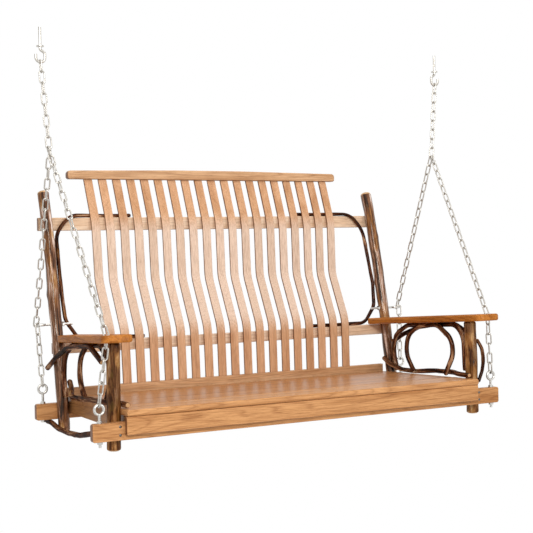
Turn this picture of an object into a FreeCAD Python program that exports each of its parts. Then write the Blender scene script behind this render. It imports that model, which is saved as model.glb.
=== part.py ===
import FreeCAD, Part
import math
import os

os.makedirs("parts", exist_ok=True)

V = FreeCAD.Vector
X = V(1, 0, 0)
Y = V(0, 1, 0)
Z = V(0, 0, 1)

# Porch swing. Millimetres. The bench is drawn in its own frame: x across, y back from the
# front face of the front beam, z up from the underside of the beams. save() moves every
# piece into the shared frame, whose origin is the ceiling midway between the two hooks.

# ---- driving dimensions -------------------------------------------------------------
fit_gap = 0.3            # clearance between pieces that lie against each other
beyond = 1000.0          # cutting blocks reach this far, past everything

beam_length = 1518.0
beam_height = 55.0
beam_thick = 23.0
beam_corner = 8.0
rear_beam_y = 561.0      # front face of the rear beam

seat_half = 657.0        # half length of the apron and of the front seat board
seat_thick = 20.0
seat_front_y = -22.0
seat_front_z = 92.0      # top of the seat at its front edge
seat_rear_y = 558.0
seat_fall = 0.0314       # drop of the seat per mm towards the back
seat_boards = 4
board_gap = 1.5
nose_round = 7.0
apron_thick = 16.0
apron_low_z = 15.5

rail_thick = 20.0        # side rails under the seat
rail_outer_x = 648.0
rail_low_z = 20.0

slat_count = 19
slat_width = 31.7
slat_thick = 8.5
slat_pitch_low = 53.2
slat_pitch_top = 54.7
slat_low_z = 102.0
slat_top_z = 830.0
slat_line = [(569.0, slat_low_z), (575.8, 286.4), (670.0, 466.0), (680.0, 668.0), (747.6, slat_top_z)]
slat_bends = [120.0, 100.0, 180.0]

crest_length = 1118.0
crest_shift = -11.0      # the crest rail sits a little to the left of the slats
crest_height = 31.0
crest_depth = 28.0
crest_rise = 6.0         # extra height at the middle of the arch
crest_lead = 6.0         # the crest rail's face stands this far before the slats
crest_corner_low = 9.0
crest_corner_top = 13.0

base_rail_depth = 18.0
upper_rail_length = 1389.0
upper_rail_low_z = 644.0
upper_rail_height = 46.0
upper_rail_y = 699.2
lower_rail_length = 1372.0
lower_rail_low_z = 218.0
lower_rail_height = 39.0
lower_rail_y = 592.0
back_rail_thick = 20.0

edge_round = 2.0         # eased edges of the thin boards
rail_round = 3.0         # eased edges of the apron and the back rails

post_x = 672.0
rear_post_r = 20.5
rear_post_line = [(536.0, -41.0), (544.0, 50.0), (586.0, 290.0), (673.0, 667.0), (708.0, 782.0)]
rear_post_bend = 240.0
front_post_top_r = 21.0
front_post_foot_r = 22.0
front_post_y = beam_thick + front_post_foot_r + fit_gap
front_post_foot = V(677.0, front_post_y, -36.0)
front_post_knee = V(676.0, front_post_y, 60.0)
front_post_bend = 300.0

arm_thick = 24.0
arm_fall = 0.0577        # drop of the arm per mm towards the back
arm_low_z = 292.9        # underside of the arm above the front face of the front beam
arm_front_y = -48.0
arm_front_inner_x = 640.0
arm_front_outer_x = 738.0
arm_rear_y = 594.0
arm_rear_inner_x = 592.0
arm_rear_outer_x = 686.0
arm_step_y = 520.0       # where the outer edge starts to turn in before the rear post
arm_front_corner = 22.0
arm_rear_corner = 10.0
arm_round = 7.0
chain_hole_r = 15.0

bow_r = 9.0
back_bow_r = 7.0
outer_bow_r = 6.5

link_wire_r = 2.5
link_inside = 35.4       # inside length of a link
link_half_width = 8.25   # centre line half width of a link
join_half_width = 9.0    # the link that carries both legs is a little wider
ride_side = 2.8          # the two legs ride side by side in that link's bend,
ride_shift = 0.45        # both a little outwards, because it leans,
ride_lift = 1.6          # and a little up the bend
hook_wire_r = 4.5
hook_bend_r = 15.0
hook_neck = 13.0         # from the ceiling to the start of the hook's neck
hook_shoulder = 23.0
hook_tip = 28.0
hook_shank = 60.0        # thread above the ceiling
collar_r = 12.0
collar_thick = 4.0
s_hook_r = 2.75
s_hook_bend = 8.0
eye_wire_r = 4.25
eye_r = 14.75            # centre line radius of a turned eye
eye_lean_r = eye_wire_r + 0.35   # room for a link that leans along the eye's wire
eyebolt_length = 113.0   # from the middle of the eye to the end of the shank
nut_r = 8.5
nut_thick = 7.0
thread_gap = 0.05
screw_r = 2.5
screw_head_r = 5.0
screw_length = 45.0
screw_heights = (16.2, 41.5)

eye_front = V(733.0, beam_thick / 2, 96.0)
eye_rear = V(732.5, rear_beam_y + beam_thick / 2, 105.0)
eye_post = V(728.4, 594.0, 321.0)
ride_angle = 29.0        # the two rear legs ride this far to each side of the eye's outermost point
kink = V(710.0, -7.0, 312.0)   # where the front leg bends as it comes up through the arm
hang_x = 754.0           # where each pair of legs meets
hang_y = 366.71          # under the hooks, over the bench's centre of mass
links_rear_upper = 18
links_rear_lower = 6
links_front_upper = 19
links_front_lower = 6
links_drop = 8
hook_x = 776.0           # half the distance between the two ceiling hooks
hook_drop = 53.0         # from the ceiling to the middle of the hook's wire

# ---- derived values -----------------------------------------------------------------
seat_slope = math.atan(seat_fall)
arm_slope = math.atan(arm_fall)


def seat_top(y):
    """Height of the seat's upper face."""
    return seat_front_z - seat_fall * (y - seat_front_y)


def arm_low(y):
    """Height of the arm's underside."""
    return arm_low_z - arm_fall * y


def run_length(links, start_r, end_r):
    """Reach of a run of links between two wires that it is hooked over."""
    return links * link_inside - start_r - end_r - (links + 1) * fit_gap


# the rear legs are taut with the usual gap, and that sets the height of the meeting point
ride_across = eye_r * math.cos(math.radians(ride_angle))
ride_along = eye_r * math.sin(math.radians(ride_angle))
ride_up = eye_post + V(ride_across, ride_along, 0)
ride_down = eye_post + V(ride_across, -ride_along, 0)
rear_reach = run_length(links_rear_upper, link_wire_r, eye_lean_r)
rear_run = math.hypot(hang_x - ride_up.x, hang_y - ride_up.y)
hang_z = ride_up.z + math.sqrt(rear_reach ** 2 - rear_run ** 2)
hang = V(hang_x, hang_y, hang_z)
drop_reach = links_drop * (link_inside - fit_gap) - hook_wire_r + link_wire_r
hook_low = hang + V(hook_x - hang_x, 0, math.sqrt(drop_reach ** 2 - (hook_x - hang_x) ** 2))
ceiling_z = hook_low.z + hook_drop


# ---- helpers ------------------------------------------------------------------------
def save(name, *solids):
    """Write one node, as one solid or as a group of separate solids."""
    shape = solids[0] if len(solids) == 1 else Part.makeCompound(list(solids))
    moved = shape.copy()
    moved.translate(V(0, -hang_y, -ceiling_z))
    moved.exportStep("parts/" + name + ".step")


def mirrored(shape):
    """The same piece on the other side of the bench."""
    return shape.mirror(V(0, 0, 0), X)


def both_sides(shapes):
    return list(shapes) + [mirrored(shape) for shape in shapes]


def box(x0, x1, y0, y1, z0, z1):
    return Part.makeBox(x1 - x0, y1 - y0, z1 - z0, V(x0, y0, z0))


def rod(start, end, radius):
    """A straight round bar."""
    return Part.makeCylinder(radius, (end - start).Length, start, end - start)


def bend_edges(points, radii):
    """Straight edges joined by tangent arcs at the inner points."""
    edges = []
    here = points[0]
    for i in range(1, len(points) - 1):
        before = (points[i - 1] - points[i]).normalize()
        after = (points[i + 1] - points[i]).normalize()
        turn = math.pi - before.getAngle(after)
        reach = radii[i - 1] * math.tan(turn / 2)
        enter = points[i] + before * reach
        leave = points[i] + after * reach
        inward = (before + after).normalize()
        middle = points[i] + inward * (radii[i - 1] / math.cos(turn / 2) - radii[i - 1])
        edges.append(Part.LineSegment(here, enter).toShape())
        edges.append(Part.Arc(enter, middle, leave).toShape())
        here = leave
    edges.append(Part.LineSegment(here, points[-1]).toShape())
    return edges


def bent_rod(points, radii, radius, end_radius=None):
    """A round bar along straight runs and tangent arcs, tapering to end_radius if given."""
    wire = Part.Wire(bend_edges(points, radii))
    along = (points[1] - points[0]).normalize()
    last = (points[-1] - points[-2]).normalize()
    sections = [Part.Wire([Part.makeCircle(radius, points[0], along)])]
    if end_radius:
        sections.append(Part.Wire([Part.makeCircle(end_radius, points[-1], last)]))
    return wire.makePipeShell(sections, True, False)


def plate(corners, radii, depth):
    """A plate with rounded corners, from its outline and the way it is thick."""
    start = (corners[0] + corners[-1]) * 0.5
    edges = bend_edges([start] + corners + [start], radii)
    return Part.Face(Part.Wire(edges)).extrude(depth)


def eased(shape, radius):
    """Round every edge of a board."""
    return shape.makeFillet(radius, shape.Edges)


def side_profile(points, x0, x1):
    """A solid between x0 and x1 from an outline of (y, z) points."""
    corners = [V(x0, y, z) for y, z in points]
    face = Part.Face(Part.makePolygon(corners + [corners[0]]))
    return face.extrude(V(x1 - x0, 0, 0))


# ---- posts --------------------------------------------------------------------------
def make_front_post():
    """A tapering post whose head is cut to the underside of the arm."""
    head = V(post_x, front_post_y, arm_low(front_post_y))
    line = [front_post_foot, front_post_knee, head]
    post = bent_rod(line, [front_post_bend], front_post_foot_r, front_post_top_r)
    over = [(-beyond, arm_low(-beyond)), (beyond, arm_low(beyond)), (beyond, beyond), (-beyond, beyond)]
    return post.cut(side_profile(over, 0, beyond))


def make_rear_post():
    """A post that leans and bends back, notched over the rear beam."""
    line = [V(post_x, y, z) for y, z in rear_post_line]
    post = bent_rod(line, [rear_post_bend] * 3, rear_post_r)
    return post.cut(box(0, beyond, rear_beam_y, beyond, -1, beam_height + 1))


front_post = make_front_post()
rear_post = make_rear_post()


# ---- beams, apron and side rails ----------------------------------------------------
def beam(front_y):
    """A long board on edge with rounded ends."""
    half = beam_length / 2
    corners = [
        V(-half, front_y, 0),
        V(half, front_y, 0),
        V(half, front_y, beam_height),
        V(-half, front_y, beam_height),
    ]
    return eased(plate(corners, [beam_corner] * 4, Y * beam_thick), edge_round)


front_beam = beam(0)
rear_beam = beam(rear_beam_y)
apron_top_z = seat_top(-apron_thick) - seat_thick - 1.0
apron = eased(box(-seat_half, seat_half, -apron_thick, 0, apron_low_z, apron_top_z), rail_round)


def below_seat(y):
    """Height of the seat boards' underside, less a hair."""
    return seat_top(y) - seat_thick - 0.1


side_rail = side_profile(
    [
        (beam_thick, rail_low_z),
        (rear_beam_y, rail_low_z),
        (rear_beam_y, below_seat(rear_beam_y)),
        (0.0, below_seat(0.0)),
        (0.0, beam_height),
        (beam_thick, beam_height),
    ],
    rail_outer_x - rail_thick,
    rail_outer_x,
)


# ---- seat boards --------------------------------------------------------------------
def post_notch(side):
    """What the front seat board loses to a front post, open to the board's end."""
    clear = front_post_foot_r + fit_gap
    middle = V(side * front_post_knee.x, front_post_y, 0)
    round_end = rod(middle, middle + Z * 200, clear)
    slot = Part.makeBox(beyond, 2 * clear, 200, V(0, -clear, 0))
    if side < 0:
        slot = mirrored(slot)
    slot.translate(middle)
    return round_end.fuse(slot)


def make_seat_boards():
    run = (seat_rear_y - seat_front_y) / math.cos(seat_slope)
    width = (run - board_gap * (seat_boards - 1)) / seat_boards
    made = []
    for number in range(seat_boards):
        first = number == 0
        half = seat_half if first else rail_outer_x
        board = Part.makeBox(2 * half, width, seat_thick, V(-half, 0, -seat_thick))
        board = eased(board, nose_round if first else edge_round)
        board.translate(V(0, number * (width + board_gap), 0))
        board.rotate(V(0, 0, 0), X, -math.degrees(seat_slope))
        board.translate(V(0, seat_front_y, seat_front_z))
        made.append(board)
    made[0] = made[0].cut(post_notch(1)).cut(post_notch(-1))
    return made


boards = make_seat_boards()

# ---- back ---------------------------------------------------------------------------
base_rail_y = slat_line[0][0]
base_rail = eased(
    box(-rail_outer_x, rail_outer_x, base_rail_y, base_rail_y + base_rail_depth, beam_height, slat_low_z),
    edge_round,
)


def slat(x_low, x_top):
    """One bent slat, its foot on the base rail and its top under the crest rail."""
    front = [V(0, y, z) for y, z in slat_line]
    rear = []
    for i, point in enumerate(front):
        before = (point - front[i - 1]) if i else (front[1] - point)
        after = (front[i + 1] - point) if i < len(front) - 1 else V(before)
        way = (V(before).normalize() + V(after).normalize()).normalize()
        normal = V(0, way.z, -way.y)
        along = V(before).normalize()
        rear.append(point + normal * (slat_thick / normal.dot(V(0, along.z, -along.y))))
    rear[0] = V(0, front[0].y + slat_thick, front[0].z)
    steep = (front[-1] - front[-2]).normalize().z
    rear[-1] = V(0, front[-1].y + slat_thick / steep, front[-1].z)
    inner = [slat_bends[0] - slat_thick, slat_bends[1] + slat_thick, slat_bends[2] - slat_thick]
    edges = bend_edges(front, slat_bends) + bend_edges(rear, inner)
    edges.append(Part.LineSegment(front[0], rear[0]).toShape())
    edges.append(Part.LineSegment(front[-1], rear[-1]).toShape())
    solid = Part.Face(Part.Wire(Part.__sortEdges__(edges))).extrude(X * slat_width)
    solid.translate(V(-slat_width / 2, 0, 0))
    lean = math.degrees(math.atan2(x_top - x_low, slat_top_z - slat_low_z))
    solid.rotate(V(0, 0, slat_low_z), Y, lean)
    solid.translate(V(x_low, 0, 0))
    over = box(-beyond, beyond, 0, beyond, slat_top_z, beyond)
    under = box(-beyond, beyond, 0, beyond, 0, slat_low_z)
    return solid.cut(over).cut(under)


def make_crest_rail():
    """The arched rail over the slats."""
    half = crest_length / 2
    top_z = slat_top_z + crest_height
    shoulder = half - 20.0
    left_end = [V(0, 0, slat_top_z), V(-half, 0, slat_top_z), V(-half, 0, top_z), V(-shoulder, 0, top_z)]
    right_end = [V(shoulder, 0, top_z), V(half, 0, top_z), V(half, 0, slat_top_z), V(0, 0, slat_top_z)]
    edges = bend_edges(left_end, [crest_corner_low, crest_corner_top])
    edges.append(Part.Arc(left_end[-1], V(0, 0, top_z + crest_rise), right_end[0]).toShape())
    edges += bend_edges(right_end, [crest_corner_top, crest_corner_low])
    rail = Part.Face(Part.Wire(edges)).extrude(Y * crest_depth)
    rail.translate(V(crest_shift, slat_line[-1][0] - crest_lead, 0))
    return rail


def back_rail(length, y, z, height):
    """A straight rail behind the posts, coped to fit round them."""
    rail = eased(box(-length / 2, length / 2, y, y + back_rail_thick, z, z + height), rail_round)
    return rail.cut(rear_post).cut(mirrored(rear_post))


crest_rail = make_crest_rail()
upper_rail = back_rail(upper_rail_length, upper_rail_y, upper_rail_low_z, upper_rail_height)
lower_rail = back_rail(lower_rail_length, lower_rail_y, lower_rail_low_z, lower_rail_height)


# ---- arms ---------------------------------------------------------------------------
def make_arm():
    """A board that narrows in towards the back, stepped round the rear post, with a chain hole."""
    corners = [
        V(arm_front_inner_x, arm_front_y, 0),
        V(arm_front_outer_x, arm_front_y, 0),
        V(arm_rear_outer_x, arm_rear_y, 0),
        V(arm_rear_inner_x, arm_rear_y, 0),
    ]
    radii = [arm_front_corner, arm_front_corner, arm_rear_corner, arm_rear_corner]
    arm = eased(plate(corners, radii, Z * arm_thick), arm_round)
    post_side = post_x - rear_post_r - 1.0
    step = [
        V(beyond, arm_step_y, -1),
        V(post_x + rear_post_r, arm_step_y, -1),
        V(post_side, rear_beam_y, -1),
        V(post_side, beyond, -1),
        V(beyond, beyond, -1),
    ]
    arm = arm.cut(Part.Face(Part.makePolygon(step + [step[0]])).extrude(Z * (arm_thick + 2)))
    arm.rotate(V(0, 0, 0), X, -math.degrees(arm_slope))
    arm.translate(V(0, 0, arm_low(0)))
    hole_at = V(kink.x + 1.0, kink.y + 1.0, 0)
    arm = arm.cut(rod(hole_at, hole_at + Z * beyond, chain_hole_r))
    return arm.cut(rear_post)


arm = make_arm()


# ---- bark-on bows -------------------------------------------------------------------
def side_bow(x, points, bends, radius=bow_r):
    """A bow in an upright plane at x, from (y, z) points."""
    return bent_rod([V(x, y, z) for y, z in points], bends, radius)


def below_arm(y):
    """A point of a bow that runs just under the arm."""
    return (y, arm_low(y) - (bow_r + fit_gap) / math.cos(arm_slope))


behind_post_y = front_post_y + front_post_foot_r + bow_r + fit_gap
arm_bow = side_bow(
    post_x,
    [
        (507, 80),
        (530, 150),
        (510, 222),
        below_arm(430),
        below_arm(130),
        (behind_post_y + 5, 235),
        (behind_post_y, 112),
    ],
    [80, 80, 80, 68, 68],
)
hoop = side_bow(
    post_x - 2 * bow_r - fit_gap,
    [
        (366, 86),
        (418, 150),
        (404, 222),
        below_arm(330),
        below_arm(215),
        (128, 225),
        (122, 165),
        (170, 92),
    ],
    [70, 70, 80, 80, 60, 66],
)
upper_bow = side_bow(
    post_x + rear_post_r + bow_r + 2 * fit_gap,
    [(612, 170), (500, 220), (400, 251), below_arm(310), below_arm(170), (62, 231)],
    [80, 80, 80, 80],
)
lower_bow = bent_rod(
    [
        V(post_x - rear_post_r - bow_r - fit_gap, 556, 128),
        V(649, 518, 104),
        V(667, 466, 85),
        V(post_x, 384, 86),
        V(post_x, 248, 98),
        V(post_x, 152, 101),
        V(646, 86, 102),
        V(641, 14, 102),
    ],
    [40, 60, 80, 200, 100, 90],
    bow_r,
)
beside_post_x = front_post_foot.x + front_post_foot_r + bow_r + fit_gap
below_beam_z = -bow_r - fit_gap
brace = side_bow(
    beside_post_x,
    [
        (605, below_beam_z),
        (560, below_beam_z),
        (480, below_beam_z - 12),
        (380, below_beam_z - 13),
        (267, below_beam_z - 6),
        (130, 8),
        (beam_thick + 3, 30),
    ],
    [120] * 5,
)
outer_bow = bent_rod(
    [
        V(700.3, 43, 225),
        V(721, 43, 192),
        V(728, 43, 150),
        V(721, 43, 108),
        V(703.4, 43, 72),
    ],
    [50, 70, 70],
    outer_bow_r,
)
on_upper_z = upper_rail_low_z + upper_rail_height + back_bow_r + fit_gap
on_lower_z = lower_rail_low_z + lower_rail_height + back_bow_r + fit_gap
before_rail_y = upper_rail_y - back_bow_r - fit_gap
before_lower_y = lower_rail_y + back_bow_r + 4.5
back_bow = bent_rod(
    [
        V(345, before_rail_y + 22, on_upper_z),
        V(512, before_rail_y + 20, on_upper_z),
        V(585, before_rail_y - 2.5, on_upper_z - 0.5),
        V(638, before_rail_y - 8, on_upper_z - 62),
        V(641, 622, 420),
        V(636, 606, 330),
        V(590, before_lower_y, on_lower_z),
        V(345, before_lower_y, on_lower_z),
    ],
    [100, 70, 95, 60, 60, 45],
    back_bow_r,
)


# ---- chains -------------------------------------------------------------------------
def link_solid(half_width):
    """A straight link in the XZ plane, its length along Z and centred on the origin."""
    high = link_inside / 2 + link_wire_r
    side = high - half_width
    edges = [
        Part.LineSegment(V(half_width, 0, -side), V(half_width, 0, side)).toShape(),
        Part.Arc(V(half_width, 0, side), V(0, 0, high), V(-half_width, 0, side)).toShape(),
        Part.LineSegment(V(-half_width, 0, side), V(-half_width, 0, -side)).toShape(),
        Part.Arc(V(-half_width, 0, -side), V(0, 0, -high), V(half_width, 0, -side)).toShape(),
    ]
    section = Part.Wire([Part.makeCircle(link_wire_r, V(half_width, 0, -side), Z)])
    return Part.Wire(edges).makePipeShell([section], True, False)


plain_link = link_solid(link_half_width)
join_link = link_solid(join_half_width)


def set_link(shape, middle, down, across):
    """Put a link at middle with its length along down and its width along across."""
    z_way = V(down).normalize()
    x_way = V(across) - z_way * across.dot(z_way)
    x_way.normalize()
    y_way = z_way.cross(x_way)
    matrix = FreeCAD.Matrix(
        x_way.x, y_way.x, z_way.x, middle.x,
        x_way.y, y_way.y, z_way.y, middle.y,
        x_way.z, y_way.z, z_way.z, middle.z,
        0, 0, 0, 1,
    )
    moved = shape.copy()
    moved.Placement = FreeCAD.Placement(matrix)
    return moved


def chain(start, end, links, start_r, end_r, first_across, last_across=None):
    """A taut run of links hooked over a wire at start.

    With end_r the run ends hooked under a wire at end, otherwise its last wire is at end.
    The small gap between links is what closes the run exactly. Each link stands square to
    the one before, and a last_across that asks for another turn is shared by all of them.
    """
    down = end - start
    distance = down.Length
    down = V(down).normalize()
    if end_r:
        gap = (links * link_inside - start_r - end_r - distance) / (links + 1)
    else:
        gap = (links * link_inside - start_r + link_wire_r - distance) / links
    across = V(first_across) - down * first_across.dot(down)
    across.normalize()
    other = down.cross(across)
    step = 90.0
    if last_across is not None:
        want = math.degrees(math.atan2(last_across.dot(other), last_across.dot(across)))
        spare = (want - 90.0 * (links - 1) + 90.0) % 180.0 - 90.0
        step += spare / (links - 1)
    first_middle = link_inside / 2 - start_r - gap
    solids = []
    for i in range(links):
        turn = math.radians(step * i)
        width = across * math.cos(turn) + other * math.sin(turn)
        middle = start + down * (first_middle + i * (link_inside - gap))
        solids.append(set_link(plain_link, middle, down, width))
    return solids


drop_links = chain(hook_low, hang, links_drop, hook_wire_r, 0, Y)
drop_way = (hang - hook_low).normalize()
join_middle = hang - drop_way * (link_inside / 2 + link_wire_r)
drop_links[-1] = set_link(join_link, join_middle, drop_way, X)

rear_start = hang + V(ride_shift - ride_side, 0, ride_lift)
front_start = hang + V(ride_shift + ride_side, 0, ride_lift)
front_way = kink - front_start
front_reach = links_front_upper * (link_inside - fit_gap) - s_hook_r + link_wire_r
s_span = front_way.Length - front_reach
front_way = V(front_way).normalize()
s_end = front_start + front_way * s_span

rear_upper = chain(
    rear_start, ride_up, links_rear_upper, link_wire_r, eye_lean_r, Y, ride_up - eye_post
)
rear_lower = chain(
    ride_down, eye_rear + Z * eye_r, links_rear_lower, eye_wire_r, eye_wire_r, ride_down - eye_post, Y
)
front_upper = chain(s_end, kink, links_front_upper, s_hook_r, 0, X, X)
front_lower = chain(kink, eye_front + Z * eye_r, links_front_lower, link_wire_r, eye_wire_r, Y, Y)
v_chain = rear_upper + rear_lower + front_upper + front_lower


def make_s_hook():
    """An S of round bar between the lowest drop link and the front leg."""
    inward = (Y - front_way * Y.dot(front_way)).normalize()
    top = -(s_hook_r + link_wire_r + fit_gap)
    outline = [
        (s_hook_bend, top + s_hook_bend + 5),
        (s_hook_bend, top),
        (-s_hook_bend, top),
        (-s_hook_bend, top + s_hook_bend + 3),
        (s_hook_bend, s_span - s_hook_bend - 3),
        (s_hook_bend, s_span),
        (-s_hook_bend, s_span),
        (-s_hook_bend, s_span - s_hook_bend - 5),
    ]
    points = [front_start + inward * w + front_way * s for w, s in outline]
    end_bend = s_hook_bend - 0.1
    return bent_rod(points, [end_bend, end_bend, 4.0, 4.0, end_bend, end_bend], s_hook_r)


def make_ceiling_hook():
    """A screw hook with a collar against the ceiling."""
    top = V(hook_low.x, hook_low.y, ceiling_z)
    outline = [
        (0, hook_shank),
        (0, -hook_neck),
        (-hook_bend_r, -hook_shoulder),
        (-hook_bend_r, -hook_drop),
        (hook_bend_r, -hook_drop),
        (hook_bend_r, -hook_tip),
    ]
    points = [top + V(dx, 0, dz) for dx, dz in outline]
    round_bend = hook_bend_r - 0.1
    hook = bent_rod(points, [7.0, 7.0, round_bend, round_bend], hook_wire_r)
    collar = Part.makeCylinder(collar_r, collar_thick, top - Z * collar_thick)
    return hook.fuse(collar).removeSplitter()


s_hook = make_s_hook()
ceiling_hook = make_ceiling_hook()


# ---- eye bolts, nuts and screws -----------------------------------------------------
def eyebolt(centre, way, ring_normal):
    """A turned eye at centre with its shank running along way."""
    ring = Part.makeTorus(eye_r, eye_wire_r, centre, ring_normal)
    shank = rod(centre + way * eye_r, centre + way * eyebolt_length, eye_wire_r)
    return ring.fuse(shank).removeSplitter()


def nut(centre, way):
    """A hexagon nut on a shank."""
    side = X if abs(way.y) > 0.5 or abs(way.z) > 0.5 else Y
    other = way.cross(side)
    corners = []
    for i in range(7):
        turn = math.radians(60 * i + 90)
        corners.append(centre + (side * math.cos(turn) + other * math.sin(turn)) * nut_r)
    body = Part.Face(Part.makePolygon(corners)).extrude(way * nut_thick)
    return body.cut(rod(centre - way, centre + way * (nut_thick + 1), eye_wire_r + thread_gap))


def screw(at, way):
    """A screw with a low domed head on the face at a point."""
    shank = rod(at, at + way * screw_length, screw_r)
    dome = Part.makeSphere(screw_head_r * 1.3, at + way * (screw_head_r * 0.95))
    outside = rod(at - way * 20, at, 30)
    return dome.common(outside).fuse(shank).removeSplitter()


down = Z * -1
side_eyebolts = [
    eyebolt(eye_front, down, Y),
    eyebolt(eye_rear, down, Y),
    eyebolt(eye_post, X * -1, Z),
]
side_nuts = [nut(V(post_x - rear_post_r, eye_post.y, eye_post.z), X * -1)]
for eye in (eye_front, eye_rear):
    side_nuts.append(nut(V(eye.x, eye.y, 0), down))
    side_nuts.append(nut(V(eye.x, eye.y, beam_height), Z))
side_screws = []
for height in screw_heights:
    side_screws.append(screw(V(post_x, 0, height), Y))
    side_screws.append(screw(V(post_x, rear_beam_y + beam_thick, height), Y * -1))

eyebolts = both_sides(side_eyebolts)
nuts = both_sides(side_nuts)
screws = both_sides(side_screws)

# ---- bores for the fasteners --------------------------------------------------------
for tool in eyebolts + screws:
    front_beam = front_beam.cut(tool)
    rear_beam = rear_beam.cut(tool)
for tool in side_screws + side_eyebolts:
    front_post = front_post.cut(tool)
    rear_post = rear_post.cut(tool)
for tool in side_nuts:
    rear_post = rear_post.cut(tool)

# ---- write the nodes ----------------------------------------------------------------
save("front_beam", front_beam)
save("rear_beam", rear_beam)
save("seat_apron", apron)
for number, board in enumerate(boards):
    save("seat_board_" + str(number + 1), board)
save("slat_base_rail", base_rail)
save("crest_rail", crest_rail)
save("upper_back_rail", upper_rail)
save("lower_back_rail", lower_rail)
for number in range(slat_count):
    steps = number - (slat_count - 1) / 2
    piece = slat(steps * slat_pitch_low, steps * slat_pitch_top)
    save("back_slat_" + str(number + 1).zfill(2), piece)
pairs = {
    "front_post": front_post,
    "rear_post": rear_post,
    "arm_rest": arm,
    "side_rail": side_rail,
    "back_bow": back_bow,
    "arm_bow": arm_bow,
    "arm_hoop": hoop,
    "upper_arm_bow": upper_bow,
    "lower_arm_bow": lower_bow,
    "bottom_brace": brace,
}
for name, piece in pairs.items():
    save("right_" + name, piece)
    save("left_" + name, mirrored(piece))
save("right_outer_bow", outer_bow)
for side, turn_over in (("right", False), ("left", True)):
    legs = [mirrored(link) for link in v_chain] if turn_over else v_chain
    drop = [mirrored(link) for link in drop_links] if turn_over else drop_links
    save(side + "_v_chain", *legs)
    save(side + "_drop_chain", *drop)
save("s_hooks", *both_sides([s_hook]))
save("ceiling_hooks", *both_sides([ceiling_hook]))
save("eyebolts", *eyebolts)
save("eyebolt_nuts", *nuts)
save("post_screws", *screws)
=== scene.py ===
import math

import bmesh
import bpy
from mathutils import Matrix, Vector, noise


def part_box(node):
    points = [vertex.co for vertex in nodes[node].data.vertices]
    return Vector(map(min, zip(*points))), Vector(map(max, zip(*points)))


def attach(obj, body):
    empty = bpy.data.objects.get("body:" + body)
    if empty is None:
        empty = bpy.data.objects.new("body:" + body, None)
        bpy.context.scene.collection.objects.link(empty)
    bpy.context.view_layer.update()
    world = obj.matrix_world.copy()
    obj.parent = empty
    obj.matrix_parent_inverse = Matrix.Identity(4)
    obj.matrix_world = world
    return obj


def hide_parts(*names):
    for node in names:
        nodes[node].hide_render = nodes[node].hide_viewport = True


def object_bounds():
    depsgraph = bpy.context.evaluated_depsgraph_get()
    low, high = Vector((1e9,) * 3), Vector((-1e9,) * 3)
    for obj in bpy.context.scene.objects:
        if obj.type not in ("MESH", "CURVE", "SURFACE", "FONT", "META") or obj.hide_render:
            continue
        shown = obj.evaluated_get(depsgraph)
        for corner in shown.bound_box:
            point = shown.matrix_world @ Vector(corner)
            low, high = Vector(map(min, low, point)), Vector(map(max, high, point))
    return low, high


# The looks of the porch swing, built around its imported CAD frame. The frame's origin is
# the ceiling midway between the hooks. The bench's own frame, which the bark-on rods are
# given in, has x across, y back from the front beam's face and z up from the beams'
# underside, in millimetres.

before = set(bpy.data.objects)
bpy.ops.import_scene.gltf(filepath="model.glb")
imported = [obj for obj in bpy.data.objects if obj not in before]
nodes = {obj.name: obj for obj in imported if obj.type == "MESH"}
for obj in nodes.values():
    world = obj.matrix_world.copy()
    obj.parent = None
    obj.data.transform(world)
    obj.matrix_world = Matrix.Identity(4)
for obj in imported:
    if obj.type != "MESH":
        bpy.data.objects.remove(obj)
cad_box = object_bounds()

BENCH_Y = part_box("front_beam")[0].y
BENCH_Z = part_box("front_beam")[0].z
WHITE = (1.0, 1.0, 1.0, 1.0)
BLACK_STOP = (0.0, 0.0, 0.0)
WHITE_STOP = (1.0, 1.0, 1.0)


def bench_point(x, y, z):
    """A point given in the bench's own frame, as a place in the shared frame."""
    return Vector((x / 1000, y / 1000 + BENCH_Y, z / 1000 + BENCH_Z))


# ---- materials ------------------------------------------------------------------------
VARNISH_TINT = (1.0, 0.88, 0.74, 1.0)
COAT_ROUGHNESS = 0.14


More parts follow.
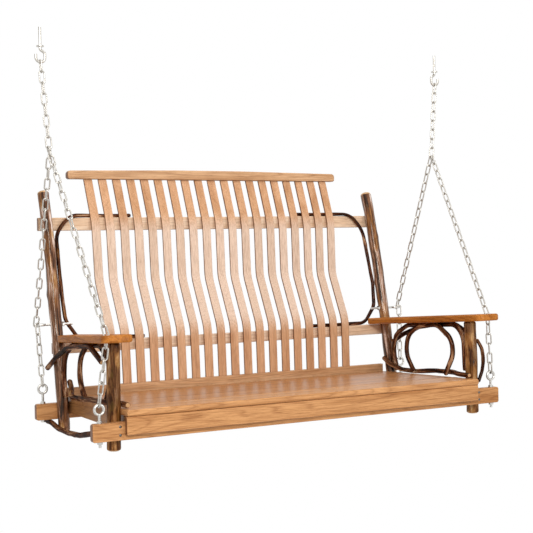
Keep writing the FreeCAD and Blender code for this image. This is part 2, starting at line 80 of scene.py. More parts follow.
class Nodes:
    """Small helpers for building one procedural material."""

    def __init__(self, name):
        self.material = bpy.data.materials.new(name)
        self.material.use_nodes = True
        self.tree = self.material.node_tree
        self.shader = self.tree.nodes["Principled BSDF"]

    def add(self, kind, **settings):
        node = self.tree.nodes.new(kind)
        for key, value in settings.items():
            setattr(node, key, value)
        return node

    def link(self, source, target):
        self.tree.links.new(source, target)

    def stretched(self, source, scale):
        """Coordinates scaled by a different amount along each axis."""
        mapping = self.add("ShaderNodeMapping")
        mapping.inputs["Scale"].default_value = scale
        self.link(source, mapping.inputs["Vector"])
        return mapping.outputs["Vector"]

    def noise(self, vector, scale, detail=4.0, roughness=0.55, distortion=0.0):
        texture = self.add("ShaderNodeTexNoise")
        texture.inputs["Scale"].default_value = scale
        texture.inputs["Detail"].default_value = detail
        texture.inputs["Roughness"].default_value = roughness
        texture.inputs["Distortion"].default_value = distortion
        self.link(vector, texture.inputs["Vector"])
        return texture.outputs["Fac"]

    def ramp(self, factor, stops):
        """A colour ramp from (position, (r, g, b)) stops."""
        node = self.add("ShaderNodeValToRGB")
        bar = node.color_ramp
        while len(bar.elements) < len(stops):
            bar.elements.new(0.5)
        for element, (position, colour) in zip(bar.elements, stops):
            element.position = position
            element.color = (*colour, 1.0)
        self.link(factor, node.inputs["Fac"])
        return node.outputs["Color"]

    def mix(self, factor, first, second, blend="MIX"):
        node = self.add("ShaderNodeMix", data_type="RGBA", blend_type=blend)
        for socket, value in ((0, factor), (6, first), (7, second)):
            if isinstance(value, bpy.types.NodeSocket):
                self.link(value, node.inputs[socket])
            else:
                node.inputs[socket].default_value = value
        return node.outputs[2]

    def math(self, operation, first, second=0.0):
        node = self.add("ShaderNodeMath", operation=operation)
        for socket, value in ((0, first), (1, second)):
            if isinstance(value, bpy.types.NodeSocket):
                self.link(value, node.inputs[socket])
            else:
                node.inputs[socket].default_value = value
        return node.outputs["Value"]

    def smooth_step(self, value, start, end):
        """0 at start and 1 at end, with a smooth change between them."""
        node = self.add("ShaderNodeMapRange", interpolation_type="SMOOTHSTEP")
        node.inputs["From Min"].default_value = start
        node.inputs["From Max"].default_value = end
        self.link(value, node.inputs["Value"])
        return node.outputs["Result"]

    def bump(self, height, strength, distance):
        node = self.add("ShaderNodeBump")
        node.inputs["Strength"].default_value = strength
        node.inputs["Distance"].default_value = distance
        self.link(height, node.inputs["Height"])
        self.link(node.outputs["Normal"], self.shader.inputs["Normal"])

    def varnish(self, roughness, specular, coat=0.0):
        """Gloss in the wood itself, and a share of it as a clear coat on top."""
        self.shader.inputs["Roughness"].default_value = roughness
        self.shader.inputs["Coat Weight"].default_value = coat
        self.shader.inputs["Coat Roughness"].default_value = COAT_ROUGHNESS
        self.shader.inputs["Specular IOR Level"].default_value = specular
        self.shader.inputs["Specular Tint"].default_value = VARNISH_TINT


def along(grain_axis, across, lengthways):
    """Texture scales that stretch a pattern along the grain."""
    scale = [across, across, across]
    scale[grain_axis] = lengthways
    return scale


# scales of the patterns in oak per metre, as (across the grain, along it)
FIGURE_SCALE = (30.0, 1.8)
STREAK_SCALE = (420.0, 14.0)
RING_SCALE = (9.0, 0.8)
PORE_SCALE = (1000.0, 45.0)
RING_LINES = 90.0                   # a higher one gives closer growth rings
RING_FRAY = 0.012                   # how much the streaks roughen the rings
BOARD_SHIFT = (7.0, 11.0, 5.0)      # moves the pattern from one board to the next
GLARE_EDGE = 0.045                   # half the height over which the painted highlight begins or ends
# how strongly the painted highlight pales the wood
GLARE_SHARE = 0.8
FLECK_SHARE = 0.55
STREAK_BUMP = (0.2, 0.0004)         # strength and distance


def oak(
    name, grain_axis, light, dark,
    roughness=0.36, specular=0.25, ringed=0.45, grained=0.7, painted_glare=None, coat=0.0,
):
    """Varnished oak with its grain along one axis of the object.

    ringed and grained are the strengths of the growth rings and of the fine streaks. The (low, high,
    colour) option gives the heights of the object between which a painted highlight, standing for the
    glare on the varnish, makes it paler.
    """
    m = Nodes(name)
    coords = m.add("ShaderNodeTexCoord").outputs["Object"]
    info = m.add("ShaderNodeObjectInfo")
    shift = m.add("ShaderNodeVectorMath", operation="SCALE")
    shift.inputs[0].default_value = BOARD_SHIFT
    m.link(info.outputs["Random"], shift.inputs["Scale"])
    moved = m.add("ShaderNodeVectorMath", operation="ADD")
    m.link(coords, moved.inputs[0])
    m.link(shift.outputs["Vector"], moved.inputs[1])
    place = moved.outputs["Vector"]
    figure = m.noise(m.stretched(place, along(grain_axis, *FIGURE_SCALE)), 1.0, 5.0, 0.55, 0.3)
    streaks = m.noise(m.stretched(place, along(grain_axis, *STREAK_SCALE)), 1.0, 3.0, 0.6)
    contour = m.noise(m.stretched(place, along(grain_axis, *RING_SCALE)), 1.0, 1.0, 0.5)
    frayed = m.math("ADD", contour, m.math("MULTIPLY", streaks, RING_FRAY))
    growth = m.math("ABSOLUTE", m.math("SINE", m.math("MULTIPLY", frayed, RING_LINES)))
    pores = m.noise(m.stretched(place, along(grain_axis, *PORE_SCALE)), 1.0, 2.0, 0.5)
    middle = tuple((a + b) / 2 for a, b in zip(light, dark))
    colour = m.ramp(figure, [(0.30, dark), (0.45, middle), (0.56, light), (0.74, middle)])
    # painted highlight: paler between two heights, standing for the varnish's glare
    if painted_glare:
        low, high, pale = painted_glare
        axes = m.add("ShaderNodeSeparateXYZ")
        m.link(coords, axes.inputs["Vector"])
        height = axes.outputs["Z"]
        above_low = m.smooth_step(height, low - GLARE_EDGE, low + GLARE_EDGE)
        below_high = m.smooth_step(height, high + GLARE_EDGE, high - GLARE_EDGE)
        share = m.math("MULTIPLY", above_low, below_high)
        colour = m.mix(m.math("MULTIPLY", share, GLARE_SHARE), colour, (*pale, 1.0))
    ring_stops = [(0.05, (0.52, 0.38, 0.27)), (0.42, (0.98, 0.97, 0.96)), (0.8, (1.04, 1.04, 1.04))]
    rings = m.ramp(growth, ring_stops)
    colour = m.mix(ringed, colour, rings, "MULTIPLY")
    thread = m.ramp(streaks, [(0.34, (0.58, 0.46, 0.37)), (0.56, (1.05, 1.04, 1.03))])
    colour = m.mix(grained, colour, thread, "MULTIPLY")
    fleck = m.ramp(pores, [(0.30, (0.55, 0.43, 0.34)), (0.38, WHITE_STOP)])
    colour = m.mix(FLECK_SHARE, colour, fleck, "MULTIPLY")
    tone = m.ramp(info.outputs["Random"], [(0.0, (0.90, 0.87, 0.83)), (1.0, WHITE_STOP)])
    colour = m.mix(1.0, colour, tone, "MULTIPLY")
    m.link(colour, m.shader.inputs["Base Color"])
    m.bump(streaks, *STREAK_BUMP)
    m.varnish(roughness, specular, coat)
    return m.material


BARK_LEVELS = (0.40, 0.475, 0.55, 0.64)   # from furrow to ridge in the bark's noise
# scales of the patterns in bark per metre: across the rod twice, then along it
AMBER_SCALE = (24.0, 24.0, 9.0)
MOSS_SCALE = (31.0, 31.0, 12.0)
SPECK_SCALE = (520.0, 520.0, 120.0)
FURROW_RATE = 75.0                        # across the rod
AMBER_EDGE = 0.09                         # rise of the noise over which gold takes over
MOSS_COLOUR = (0.20, 0.125, 0.024, 1.0)
MOSS_SHARE = 0.75
SPECK_SHARE = 0.6
BARK_ROUGHNESS = 0.20
BARK_BUMP = (0.3, 0.0013)                 # strength and distance


def bark(name, plain, amber_from, gold, mossy, specular, streak_rate, coat):
    """Varnished hickory bark with furrows and ridges, and with golden and olive patches.

    plain and gold hold the colours from the deepest furrow to the top of a ridge; in the posts' and
    bows' plain colours the palest one, on the ridge tops, is painted highlight, pale streaks that
    stand for glossy highlights. amber_from is the level of a noise from which gold takes over, and
    mossy is the strength of the olive patches. A lower streak_rate gives longer streaks.
    """
    m = Nodes(name)
    place = m.add("ShaderNodeAttribute", attribute_name="grain").outputs["Vector"]
    furrow_scale = (FURROW_RATE, FURROW_RATE, streak_rate)
    furrow = m.noise(m.stretched(place, furrow_scale), 1.0, 7.0, 0.68, 0.6)
    patch = m.noise(m.stretched(place, AMBER_SCALE), 1.0, 3.0, 0.55, 0.2)
    moss = m.noise(m.stretched(place, MOSS_SCALE), 1.7, 3.0, 0.55, 0.2)
    speck = m.noise(m.stretched(place, SPECK_SCALE), 1.0, 2.0, 0.6)
    base = m.ramp(furrow, list(zip(BARK_LEVELS, plain)))
    amber = m.ramp(patch, [(amber_from, BLACK_STOP), (amber_from + AMBER_EDGE, WHITE_STOP)])
    glow = m.ramp(furrow, list(zip(BARK_LEVELS, gold)))
    colour = m.mix(amber, base, glow)
    olive = m.ramp(moss, [(0.55, BLACK_STOP), (0.66, (mossy, mossy, mossy))])
    colour = m.mix(olive, colour, m.mix(MOSS_SHARE, colour, MOSS_COLOUR))
    dots = m.ramp(speck, [(0.30, (0.50, 0.44, 0.38)), (0.42, WHITE_STOP)])
    colour = m.mix(SPECK_SHARE, colour, dots, "MULTIPLY")
    m.link(colour, m.shader.inputs["Base Color"])
    m.bump(furrow, *BARK_BUMP)
    m.varnish(BARK_ROUGHNESS, specular, coat)
    return m.material


END_RING_RATE = 2600.0     # radians of the rings' sine per metre out from the rod's middle
END_WOBBLE_SCALE = (120.0, 120.0, 0.0)


def cut_end(name):
    """The sawn, varnished end of a bark-on rod, with rings round its middle."""
    m = Nodes(name)
    place = m.add("ShaderNodeAttribute", attribute_name="grain").outputs["Vector"]
    length = m.add("ShaderNodeVectorMath", operation="LENGTH")
    m.link(m.stretched(place, (1.0, 1.0, 0.0)), length.inputs[0])
    wobble = m.noise(m.stretched(place, END_WOBBLE_SCALE), 1.0, 2.0)
    rings = m.add("ShaderNodeMath", operation="MULTIPLY_ADD")
    rings.inputs[1].default_value = END_RING_RATE
    m.link(length.outputs["Value"], rings.inputs[0])
    m.link(wobble, rings.inputs[2])
    wave = m.math("SINE", rings.outputs["Value"])
    colour = m.ramp(wave, [(0.0, (0.60, 0.36, 0.17)), (1.0, (0.46, 0.24, 0.10))])
    m.link(colour, m.shader.inputs["Base Color"])
    m.varnish(0.40, 0.3)
    return m.material


MOTTLE_SCALE = 260.0
MOTTLE_SHADE = 0.72        # the dark of the mottle as a share of its colour
MOTTLE_SMOOTHER = 0.08
MOTTLE_ROUGHER = 0.1
MOTTLE_BUMP = (0.12, 0.0003)


def zinc(name, colour, roughness):
    """Zinc-plated steel with a faint mottle."""
    m = Nodes(name)
    coords = m.add("ShaderNodeTexCoord").outputs["Object"]
    mottle = m.noise(coords, MOTTLE_SCALE, 3.0, 0.6)
    shade = tuple(MOTTLE_SHADE * c for c in colour)
    tint = m.ramp(mottle, [(0.35, shade), (0.62, colour)])
    m.link(tint, m.shader.inputs["Base Color"])
    rough = m.add("ShaderNodeMapRange")
    rough.inputs["To Min"].default_value = roughness - MOTTLE_SMOOTHER
    rough.inputs["To Max"].default_value = roughness + MOTTLE_ROUGHER
    m.link(mottle, rough.inputs["Value"])
    m.link(rough.outputs["Result"], m.shader.inputs["Roughness"])
    m.shader.inputs["Metallic"].default_value = 1.0
    m.bump(mottle, *MOTTLE_BUMP)
    return m.material


SLAT_BENDS = (BENCH_Z + 0.286, BENCH_Z + 0.668)   # heights of the slats' two bends
# painted highlight: the slats are paler between their two bends, where the varnish's glare falls
OAK_SLAT = oak(
    "oak_slats", 2, (0.715, 0.420, 0.242), (0.545, 0.280, 0.138),
    ringed=0.16, grained=0.55, painted_glare=(*SLAT_BENDS, (0.830, 0.665, 0.550)),
)
OAK_RAIL = oak("oak_rails", 0, (0.745, 0.470, 0.270), (0.565, 0.310, 0.150))
OAK_PALE = oak("oak_pale", 0, (0.950, 0.750, 0.580), (0.840, 0.580, 0.380), ringed=0.25, grained=0.5)
OAK_SEAT = oak(
    "oak_seat", 0, (0.570, 0.270, 0.100), (0.390, 0.162, 0.052), roughness=0.32, specular=0.3
)
OAK_FRAME = oak("oak_frame", 0, (0.690, 0.360, 0.152), (0.490, 0.222, 0.078))
OAK_SIDE = oak("oak_side", 1, (0.500, 0.240, 0.090), (0.350, 0.150, 0.050))
OAK_ARM = oak("oak_arms", 1, (0.590, 0.225, 0.042), (0.330, 0.105, 0.017), specular=0.0, coat=0.22)
# painted shade: a darker oak for the sides of the slats and the undersides of the rails, beams and
# apron; on the boards' ends it is their darker end grain
OAK_PAINTED_SHADE_AND_END_GRAIN = oak("oak_painted_shade_and_end_grain", 2, (0.300, 0.130, 0.055), (0.200, 0.080, 0.032))
GOLD = ((0.050, 0.015, 0.003), (0.180, 0.062, 0.014), (0.340, 0.145, 0.042), (0.620, 0.380, 0.170))
POST_BARK = bark(
    "post_bark",
    # painted highlight: the last, palest colour, on the ridge tops, stands for the varnish's long
    # glossy streaks
    ((0.016, 0.005, 0.002), (0.110, 0.038, 0.014), (0.330, 0.160, 0.085), (0.900, 0.730, 0.640)),
    amber_from=0.56,
    gold=GOLD,
    mossy=0.15,
    specular=0.3,
    streak_rate=6.0,
    coat=0.1,
)
BOW_BARK = bark(
    "bow_bark",
    # painted highlight: the last, palest colour, on the ridge tops, stands for the varnish's thin
    # glossy streaks
    ((0.010, 0.003, 0.002), (0.055, 0.016, 0.006), (0.155, 0.050, 0.018), (0.620, 0.370, 0.210)),
    amber_from=0.60,
    gold=GOLD,
    mossy=0.15,
    specular=0.0,
    streak_rate=8.0,
    coat=0.14,
)
GOLDEN_BARK = bark(
    "golden_bark",
    ((0.040, 0.014, 0.005), (0.110, 0.042, 0.014), (0.185, 0.082, 0.032), (0.330, 0.190, 0.100)),
    amber_from=0.46,
    gold=((0.080, 0.026, 0.006), (0.230, 0.090, 0.026), (0.360, 0.170, 0.056), (0.520, 0.310, 0.140)),
    mossy=0.35,
    specular=0.0,
    streak_rate=9.0,
    coat=0.2,
)
CUT_END = cut_end("hickory_end")
CHAIN_METAL = zinc("zinc_chain", (0.62, 0.59, 0.54), 0.32)
FITTING_METAL = zinc("steel_fittings", (0.66, 0.64, 0.60), 0.30)
SCREW_METAL = zinc("dark_screws", (0.16, 0.14, 0.12), 0.38)


# ---- boards ---------------------------------------------------------------------------
FLAT_ANGLE = math.radians(1.0)      # faces that meet at less are one face
EDGE_ANGLE = math.radians(35)       # edges sharper than this are eased
WELD = 1e-6
SIDEWAYS = 0.8                      # a normal with more than this across faces sideways
DOWNWARDS = -0.6                    # a normal with less than this upwards faces down


def soft_edged(node, material, width, segments, painted_shade_and_end_grain_test):
    """A board copied from its CAD node with its edges eased, in place of the node.

    The faces that the given test picks by their normal take a darker oak: painted shade on board sides
    and undersides, and the darker end grain on board ends.
    """
    source = nodes[node]
    piece = source.copy()
    piece.data = source.data.copy()
    piece.name = node + "_board"
    piece.hide_render = False
    piece.hide_viewport = False
    for key in list(piece.keys()):
        del piece[key]
    bpy.context.scene.collection.objects.link(piece)
    piece.parent = None
    piece.matrix_world = source.matrix_world.copy()
    mesh = bmesh.new()
    mesh.from_mesh(piece.data)
    bmesh.ops.remove_doubles(mesh, verts=mesh.verts, dist=WELD)
    bmesh.ops.dissolve_limit(mesh, angle_limit=FLAT_ANGLE, verts=mesh.verts, edges=mesh.edges)
    mesh.to_mesh(piece.data)
    mesh.free()
    piece.data.materials.clear()
    piece.data.materials.append(material)
    piece.data.materials.append(OAK_PAINTED_SHADE_AND_END_GRAIN)
    # painted shade, and end grain on the ends: the faces that the test picks take the darker oak
    for face in piece.data.polygons:
        face.material_index = 1 if painted_shade_and_end_grain_test(face.normal) else 0
        face.use_smooth = True
    bevel = piece.modifiers.new("eased edges", "BEVEL")
    bevel.width = width
    bevel.segments = segments
    bevel.limit_method = "ANGLE"
    bevel.angle_limit = EDGE_ANGLE
    bevel.use_clamp_overlap = True
    bevel.harden_normals = False
    weighted = piece.modifiers.new("normals", "WEIGHTED_NORMAL")
    weighted.keep_sharp = True
    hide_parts(node)
    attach(piece, "bench")


def faces_sideways(normal):
    return abs(normal.x) > SIDEWAYS


def faces_down_or_sideways(normal):
    return normal.z < DOWNWARDS or abs(normal.x) > SIDEWAYS


def paint(name, material):
    """Give a CAD node that keeps its own shape its material."""
    nodes[name].data.materials.clear()
    nodes[name].data.materials.append(material)


# the slats' sides and the undersides of the rails, beams and apron get painted shade; the ends of the
# rails, beams and apron get darker end grain
for name in nodes:
    if name.startswith("back_slat"):
        soft_edged(name, OAK_SLAT, 0.0016, 3, faces_sideways)
soft_edged("crest_rail", OAK_RAIL, 0.005, 4, faces_down_or_sideways)
soft_edged("slat_base_rail", OAK_RAIL, 0.001, 2, faces_sideways)
for name in ("upper_back_rail", "lower_back_rail"):
    soft_edged(name, OAK_PALE, 0.001, 2, faces_down_or_sideways)
for name in ("front_beam", "rear_beam", "seat_apron"):
    soft_edged(name, OAK_FRAME, 0.001, 2, faces_down_or_sideways)
for name in nodes:
    if name.startswith("seat_board"):
        paint(name, OAK_FRAME if name == "seat_board_1" else OAK_SEAT)
for side in ("left", "right"):
    paint(side + "_side_rail", OAK_SIDE)
    paint(side + "_arm_rest", OAK_ARM)
    paint(side + "_v_chain", CHAIN_METAL)
    paint(side + "_drop_chain", CHAIN_METAL)
for name in ("s_hooks", "ceiling_hooks"):
    paint(name, CHAIN_METAL)
for name in ("eyebolts", "eyebolt_nuts"):
    paint(name, FITTING_METAL)
paint("post_screws", SCREW_METAL)


# ---- bark-on rods ---------------------------------------------------------------------
ROD_STEP = 0.004            # length between the rings of a rod
STRAIGHT = 0.002            # a corner that turns by less, in radians, isn't rounded
THICK_ROD = 0.015           # radius over which a rod gets a post's sides and relief
POST_SIDES = 40
BOW_SIDES = 22
POST_RELIEF = 0.0011        # height of the bark's furrows
BOW_RELIEF = 0.6 * POST_RELIEF
# scales of the furrows and lumps per metre: across the rod twice, then along it
FURROWS = Vector((170, 170, 11))
LUMPS = Vector((22, 22, 13))
FURROW_LEVEL = 0.3          # value of the furrows' noise at the rod's own radius
LUMP_SHARE = 1.3            # height of the lumps against that of the furrows
WANDER = 0.0014             # how far a rod strays from its route; each run strays differently
WANDER_RATE = 9.0
WANDER_SLOPE = 0.05         # how fast it may begin to stray from its ends
WANDER_SEED = 9.1           # these two give each rod bark and a line of its own
BARK_SEED = 3.7
ROD_EDGE = 0.003            # how far the ends of the bows and braces are eased
POST_EDGE = 0.008           # how far the rounded ends of the posts are
EDGE_DEPTH = 0.8            # how deep an end is rounded, as a share of how far
BARED_AT_FOOT = 1           # stretches between rings without bark at a post's rounded end
BARED_AT_TOP = 2
END_RINGS = (0.92, 0.8, 0.6, 0.25)   # sizes of the rings of a sawn face against its rim
END_FLAT = 0.85             # the faces outside this ring are shaded flat


def rounded_route(points, bends):
    """Straight runs joined by tangent arcs, as closely spaced points."""
    route = [points[0]]
    for i in range(1, len(points) - 1):
        before = (points[i - 1] - points[i]).normalized()
        after = (points[i + 1] - points[i]).normalized()
        turn = math.pi - before.angle(after)
        if turn < STRAIGHT:
            continue
        bend = bends[i - 1] / 1000
        reach = bend * math.tan(turn / 2)
        inward = (before + after).normalized()
        centre = points[i] + inward * (bend / math.cos(turn / 2))
        first = points[i] + before * reach - centre
        last = points[i] + after * reach - centre
        axis = first.cross(last).normalized()
        count = max(3, int(bend * turn / ROD_STEP))
        for step in range(count + 1):
            route.append(centre + Matrix.Rotation(turn * step / count, 3, axis) @ first)
    route.append(points[-1])
    return evenly_spaced(route)


def evenly_spaced(route):
    """The same route with its points ROD_STEP apart."""
    spaced = [route[0]]
    for start, end in zip(route, route[1:]):
        count = max(1, round((end - start).length / ROD_STEP))
        for step in range(1, count + 1):
            spaced.append(start.lerp(end, step / count))
    return spaced


def knot_rise(knot, done, total, angle, size):
    """How far one knot lifts the bark at a place on a rod."""
    at, turn, spread, rise = knot
    off = (angle - math.radians(turn) + math.pi) % (2 * math.pi) - math.pi
    gap = math.hypot(done - at * total, off * size)
    return rise * math.exp(-((gap / spread) ** 2))


def drawn_in(to_end, edge):
    """How far a rod's surface falls back near an end that is rounded over by the edge."""
    if to_end >= edge:
        return 0.0
    return edge * (1 - math.sqrt(1 - (1 - to_end / edge) ** 2)) * EDGE_DEPTH


def bark_rings(mesh, grain, route, radii, sides, relief, seed, knots, edges):
    """The rings of a rod's points, each with its place in the bark's pattern."""
    start_r, end_r = radii
    total = sum((b - a).length for a, b in zip(route, route[1:]))
    side = (route[1] - route[0]).normalized().orthogonal().normalized()
    rings = []
    done = 0.0
    for i, centre in enumerate(route):
        ahead = route[min(i + 1, len(route) - 1)]
        behind = route[max(i - 1, 0)]
        tangent = (ahead - behind).normalized()
        side = (side - tangent * side.dot(tangent)).normalized()
        other = tangent.cross(side)
        if i:
            done += (centre - route[i - 1]).length
        size = start_r + (end_r - start_r) * done / total
        to_end = min(done, total - done)
        edge = edges[0] if done < total / 2 else edges[1]
        wander = noise.noise_vector(Vector((seed * WANDER_SEED, 0.0, done * WANDER_RATE)))
        sideways = wander - tangent * wander.dot(tangent)
        centre = centre + sideways * min(WANDER, to_end * WANDER_SLOPE)
        ring = []
        for k in range(sides):
            angle = 2 * math.pi * k / sides
            away = side * math.cos(angle) + other * math.sin(angle)
            lengthways = done + seed * BARK_SEED
            place = Vector((math.cos(angle) * size, math.sin(angle) * size, lengthways))
            furrow = noise.fractal(place * FURROWS, 1.0, 2.0, 3)
            lump = noise.noise(place * LUMPS)
            height = relief * (furrow - FURROW_LEVEL) + LUMP_SHARE * relief * lump
            for knot in knots:
                height += knot_rise(knot, done, total, angle, size)
            height -= drawn_in(to_end, edge)
            vert = mesh.verts.new(centre + away * (size + height))
            vert[grain] = place
            ring.append(vert)
        rings.append(ring)
    return rings


def bark_rod(node, points, bends, radii, seed, knots, edges, material):
    """A bark-on rod along a route, with furrows, knots and sawn ends, in place of its CAD node.

    radii, in metres, are those at the start and at the end of the route. edges are how far
    these two ends are rounded over.
    """
    thick = radii[0] > THICK_ROD
    sides = POST_SIDES if thick else BOW_SIDES
    relief = POST_RELIEF if thick else BOW_RELIEF
    mesh = bmesh.new()
    grain = mesh.verts.layers.float_vector.new("grain")
    route = rounded_route(points, bends)
    rings = bark_rings(mesh, grain, route, radii, sides, relief, seed, knots, edges)
    stretches = len(rings) - 1
    for i, (lower, upper) in enumerate(zip(rings, rings[1:])):
        bared_foot = i < BARED_AT_FOOT and edges[0] == POST_EDGE
        bared_top = i >= stretches - BARED_AT_TOP and edges[1] == POST_EDGE
        for k in range(sides):
            n = (k + 1) % sides
            face = mesh.faces.new((lower[k], lower[n], upper[n], upper[k]))
            face.smooth = True
            face.material_index = 1 if bared_foot or bared_top else 0
    close_end(mesh, grain, rings[0])
    close_end(mesh, grain, rings[-1])
    bmesh.ops.recalc_face_normals(mesh, faces=mesh.faces)
    data = bpy.data.meshes.new(node + "_bark")
    mesh.to_mesh(data)
    mesh.free()
    data.materials.append(material)
    data.materials.append(CUT_END)
    piece = bpy.data.objects.new(node + "_bark", data)
    bpy.context.scene.collection.objects.link(piece)
    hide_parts(node)
    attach(piece, "bench")


def close_end(mesh, grain, ring):
    """Close a rod's end with a sawn face."""
    middle = sum((v.co for v in ring), Vector()) / len(ring)
    spot = sum((v[grain] for v in ring), Vector()) / len(ring)
    inner = ring
    for share in END_RINGS:
        step = []
        for vert in ring:
            copy = mesh.verts.new(middle.lerp(vert.co, share))
            copy[grain] = spot.lerp(vert[grain], share)
            step.append(copy)
        for k in range(len(ring)):
            n = (k + 1) % len(ring)
            face = mesh.faces.new((inner[k], inner[n], step[n], step[k]))
            face.material_index = 1
            face.smooth = share < END_FLAT
        inner = step
    face = mesh.faces.new(inner)
    face.material_index = 1
    face.smooth = True


# the rods' routes are those of the CAD, given for the right-hand side in the bench's frame
GAP = 0.3                   # between a rod and what it rests on
BEAM_THICK = 23.0
UPPER_RAIL_FRONT = 699.2
UPPER_RAIL_TOP = 690.0
LOWER_RAIL_FRONT = 592.0
LOWER_RAIL_TOP = 257.0
ARM_LOW = 292.9             # height of the arms' underside over the front beam's face
ARM_SLOPE = 0.0577          # how much it falls per millimetre towards the back
POST_HEADROOM = 1.5         # between a front post and the arm
POST_X = 672.0
REAR_POST_R = 20.5
FRONT_POST_TOP_R = 21.0
FRONT_POST_FOOT_R = 22.0
FRONT_POST_X = 677.0
FRONT_POST_Y = BEAM_THICK + FRONT_POST_FOOT_R + GAP
BOW_R = 9.0
BACK_BOW_R = 7.0
OUTER_BOW_R = 6.5
BOW_INSET = 4.5             # between the lower rail's front and the back bow on top of it
HOOP_X = POST_X - 2 * BOW_R - GAP
UPPER_X = POST_X + REAR_POST_R + BOW_R + 2 * GAP
LOWER_X = POST_X - REAR_POST_R - BOW_R - GAP
BEHIND_POST_Y = FRONT_POST_Y + FRONT_POST_FOOT_R + BOW_R + GAP
BESIDE_POST_X = FRONT_POST_X + FRONT_POST_FOOT_R + BOW_R + GAP
BELOW_BEAM = -BOW_R - GAP
ON_UPPER_RAIL = UPPER_RAIL_TOP + BACK_BOW_R + GAP
ON_LOWER_RAIL = LOWER_RAIL_TOP + BACK_BOW_R + GAP
BEFORE_UPPER_RAIL = UPPER_RAIL_FRONT - BACK_BOW_R - GAP
OVER_LOWER_RAIL = LOWER_RAIL_FRONT + BACK_BOW_R + BOW_INSET


def arm_low(y):
    """Height of the arm's underside in the bench's frame."""
    return ARM_LOW - ARM_SLOPE * y


def under_arm(x, y):
    return (x, y, arm_low(y) - BOW_R - GAP)


# points, bend radii and radii at the start and at the end in millimetres, and knots as
# (share of the length, turn in degrees, spread and rise in metres)
RODS = {
    "rear_post": (
        [
            (POST_X, 536, -41), (POST_X, 544, 50), (POST_X, 586, 290), (POST_X, 673, 667),
            (POST_X, 708, 782),
        ],
        [240, 240, 240], REAR_POST_R, REAR_POST_R,
        [(0.30, 200, 0.016, 0.003), (0.56, 120, 0.014, 0.0025), (0.78, 260, 0.013, 0.002)],
    ),
    "front_post": (
        [
            (FRONT_POST_X, FRONT_POST_Y, -36),
            (676, FRONT_POST_Y, 60),
            (POST_X, FRONT_POST_Y, arm_low(FRONT_POST_Y) - POST_HEADROOM),
        ],
        [300], FRONT_POST_FOOT_R, FRONT_POST_TOP_R,
        [(0.22, 250, 0.012, 0.0035), (0.52, 200, 0.013, 0.003)],
    ),
    "arm_bow": (
        [
            (POST_X, 507, 80), (POST_X, 530, 150), (POST_X, 510, 222), under_arm(POST_X, 430),
            under_arm(POST_X, 130), (POST_X, BEHIND_POST_Y + 5, 235), (POST_X, BEHIND_POST_Y, 112),
        ],
        [80, 80, 80, 68, 68], BOW_R, BOW_R, [(0.2, 80, 0.01, 0.0015)],
    ),
    "arm_hoop": (
        [
            (HOOP_X, 366, 86), (HOOP_X, 418, 150), (HOOP_X, 404, 222), under_arm(HOOP_X, 330),
            under_arm(HOOP_X, 215), (HOOP_X, 128, 225), (HOOP_X, 122, 165), (HOOP_X, 170, 92),
        ],
        [70, 70, 80, 80, 60, 66], BOW_R, BOW_R, [(0.7, 200, 0.01, 0.0015)],
    ),
    "upper_arm_bow": (
        [
            (UPPER_X, 612, 170), (UPPER_X, 500, 220), (UPPER_X, 400, 251), under_arm(UPPER_X, 310),
            under_arm(UPPER_X, 170), (UPPER_X, 62, 231),
        ],
        [80, 80, 80, 80], BOW_R, BOW_R, [(0.35, 20, 0.01, 0.0015)],
    ),
    "lower_arm_bow": (
        [
            (LOWER_X, 556, 128), (649, 518, 104), (667, 466, 85), (POST_X, 384, 86), (POST_X, 248, 98),
            (POST_X, 152, 101), (646, 86, 102), (641, 14, 102),
        ],
        [40, 60, 80, 200, 100, 90], BOW_R, BOW_R, [(0.6, 90, 0.01, 0.0015)],
    ),
    "bottom_brace": (
        [
            (BESIDE_POST_X, 605, BELOW_BEAM), (BESIDE_POST_X, 560, BELOW_BEAM),
            (BESIDE_POST_X, 480, BELOW_BEAM - 12), (BESIDE_POST_X, 380, BELOW_BEAM - 13),
            (BESIDE_POST_X, 267, BELOW_BEAM - 6), (BESIDE_POST_X, 130, 8), (BESIDE_POST_X, 26, 30),
        ],
        [120] * 5, BOW_R, BOW_R, [(0.5, 10, 0.01, 0.0015)],
    ),
    "back_bow": (
        [
            (345, BEFORE_UPPER_RAIL + 22, ON_UPPER_RAIL), (512, BEFORE_UPPER_RAIL + 20, ON_UPPER_RAIL),
            (585, BEFORE_UPPER_RAIL - 2.5, ON_UPPER_RAIL - 0.5),
            (638, BEFORE_UPPER_RAIL - 8, ON_UPPER_RAIL - 62), (641, 622, 420), (636, 606, 330),
            (590, OVER_LOWER_RAIL, ON_LOWER_RAIL), (345, OVER_LOWER_RAIL, ON_LOWER_RAIL),
        ],
        [100, 70, 95, 60, 60, 45], BACK_BOW_R, BACK_BOW_R, [(0.4, 60, 0.009, 0.0012)],
    ),
    "outer_bow": (
        [(700.3, 43, 225), (721, 43, 192), (728, 43, 150), (721, 43, 108), (703.4, 43, 72)],
        [50, 70, 70], OUTER_BOW_R, OUTER_BOW_R, [(0.5, 60, 0.009, 0.0012)],
    ),
}

seed = 0
for kind, (points, bends, start_r, end_r, knots) in RODS.items():
    for side, mirror in (("right", 1), ("left", -1)):
        node = side + "_" + kind
        if node not in nodes:
            continue
        seed += 1
        corners = [bench_point(mirror * x, y, z) for x, y, z in points]
        foot = POST_EDGE if kind.endswith("post") else ROD_EDGE
        top = POST_EDGE if kind == "rear_post" else ROD_EDGE
        skin = {"front_post": GOLDEN_BARK, "rear_post": POST_BARK}.get(kind, BOW_BARK)
        radii = (start_r / 1000, end_r / 1000)
        bark_rod(node, corners, bends, radii, seed, knots, (foot, top), skin)


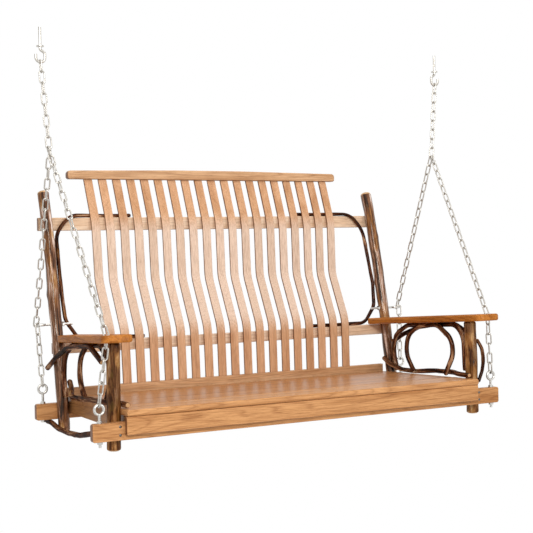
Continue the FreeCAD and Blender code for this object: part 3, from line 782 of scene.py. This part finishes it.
# ---- studio ---------------------------------------------------------------------------
FLOOR_DROP = 0.42          # how far the floor lies under the part's lowest point
FLOOR_HALF = 9.0
FLOOR_COLOUR = (0.86, 0.86, 0.86, 1.0)
FLOOR_ROUGHNESS = 0.9
SURROUND_STRENGTH = 0.42   # of the light from all round
BENCH_MIDDLE = bench_point(0, 300, 400)
floor_z = cad_box[0].z - FLOOR_DROP


def seen_directly(tree):
    """1 for camera, glossy and transmission rays, which see the backdrop as plain white."""
    path = tree.nodes.new("ShaderNodeLightPath")
    first = tree.nodes.new("ShaderNodeMath")
    first.operation = "MAXIMUM"
    tree.links.new(path.outputs["Is Camera Ray"], first.inputs[0])
    tree.links.new(path.outputs["Is Glossy Ray"], first.inputs[1])
    second = tree.nodes.new("ShaderNodeMath")
    second.operation = "MAXIMUM"
    tree.links.new(first.outputs["Value"], second.inputs[0])
    tree.links.new(path.outputs["Is Transmission Ray"], second.inputs[1])
    return second.outputs["Value"]


def backdrop_material():
    """A pale floor that camera, glossy and transmission rays see as white."""
    m = Nodes("studio_white")
    m.shader.inputs["Base Color"].default_value = FLOOR_COLOUR
    m.shader.inputs["Roughness"].default_value = FLOOR_ROUGHNESS
    glow = m.add("ShaderNodeEmission")
    glow.inputs["Color"].default_value = WHITE
    blend = m.add("ShaderNodeMixShader")
    output = m.tree.nodes["Material Output"]
    m.link(seen_directly(m.tree), blend.inputs["Fac"])
    m.link(m.shader.outputs["BSDF"], blend.inputs[1])
    m.link(glow.outputs["Emission"], blend.inputs[2])
    m.link(blend.outputs["Shader"], output.inputs["Surface"])
    return m.material


def make_floor():
    mesh = bmesh.new()
    bmesh.ops.create_grid(mesh, x_segments=2, y_segments=2, size=FLOOR_HALF)
    data = bpy.data.meshes.new("floor")
    mesh.to_mesh(data)
    mesh.free()
    data.materials.append(backdrop_material())
    floor = bpy.data.objects.new("floor", data)
    floor.location = (0, 0, floor_z)
    bpy.context.scene.collection.objects.link(floor)


make_floor()


def area_light(name, place, size, power, colour=(1.0, 1.0, 1.0)):
    """A square soft box at a place, turned towards the bench."""
    data = bpy.data.lights.new(name, "AREA")
    data.shape = "RECTANGLE"
    data.size = size
    data.size_y = size
    data.energy = power
    data.color = colour
    lamp = bpy.data.objects.new(name, data)
    lamp.location = place
    lamp.rotation_mode = "QUATERNION"
    lamp.rotation_quaternion = (BENCH_MIDDLE - Vector(place)).to_track_quat("-Z", "Y")
    bpy.context.scene.collection.objects.link(lamp)


area_light("key", (-1.6, -3.6, 0.9), 1.0, 82, (1.0, 0.985, 0.96))
area_light("front_fill", (1.6, -4.2, -0.5), 1.6, 36)
area_light("top", (0.0, -0.3, 2.4), 1.6, 40)

world = bpy.data.worlds.new("studio")
bpy.context.scene.world = world
world.use_nodes = True
tree = world.node_tree
background = tree.nodes["Background"]
background.inputs["Color"].default_value = WHITE
background.inputs["Strength"].default_value = SURROUND_STRENGTH
white = tree.nodes.new("ShaderNodeBackground")
white.inputs["Color"].default_value = WHITE
white.inputs["Strength"].default_value = 1.0
choice = tree.nodes.new("ShaderNodeMixShader")
tree.links.new(seen_directly(tree), choice.inputs["Fac"])
tree.links.new(background.outputs["Background"], choice.inputs[1])
tree.links.new(white.outputs["Background"], choice.inputs[2])
tree.links.new(choice.outputs["Shader"], tree.nodes["World Output"].inputs["Surface"])
bpy.context.scene.view_settings.view_transform = "Standard"

# ---- camera ---------------------------------------------------------------------------
CAMERA_PLACE = (-1897.0, -3249.6, 554.0)   # in the bench's own frame
CAMERA_YAW = 0.4893        # to the right of straight back, in radians as the next two are
CAMERA_DOWN = 0.0128
CAMERA_ROLL = -0.0220
CAMERA_LENS = 78.17

forward = Vector((
    math.sin(CAMERA_YAW) * math.cos(CAMERA_DOWN),
    math.cos(CAMERA_YAW) * math.cos(CAMERA_DOWN),
    -math.sin(CAMERA_DOWN),
))
level = Vector((math.cos(CAMERA_YAW), -math.sin(CAMERA_YAW), 0.0))
upright = level.cross(forward)
right = level * math.cos(CAMERA_ROLL) + upright * math.sin(CAMERA_ROLL)
above = upright * math.cos(CAMERA_ROLL) - level * math.sin(CAMERA_ROLL)
camera_data = bpy.data.cameras.new("camera")
camera_data.lens = CAMERA_LENS
camera_data.sensor_width = 36.0
camera_data.clip_end = 100.0
camera = bpy.data.objects.new("camera", camera_data)
turn = Matrix((right, above, -forward)).transposed().to_4x4()
camera.matrix_world = Matrix.Translation(bench_point(*CAMERA_PLACE)) @ turn
bpy.context.scene.collection.objects.link(camera)
bpy.context.scene.camera = camera
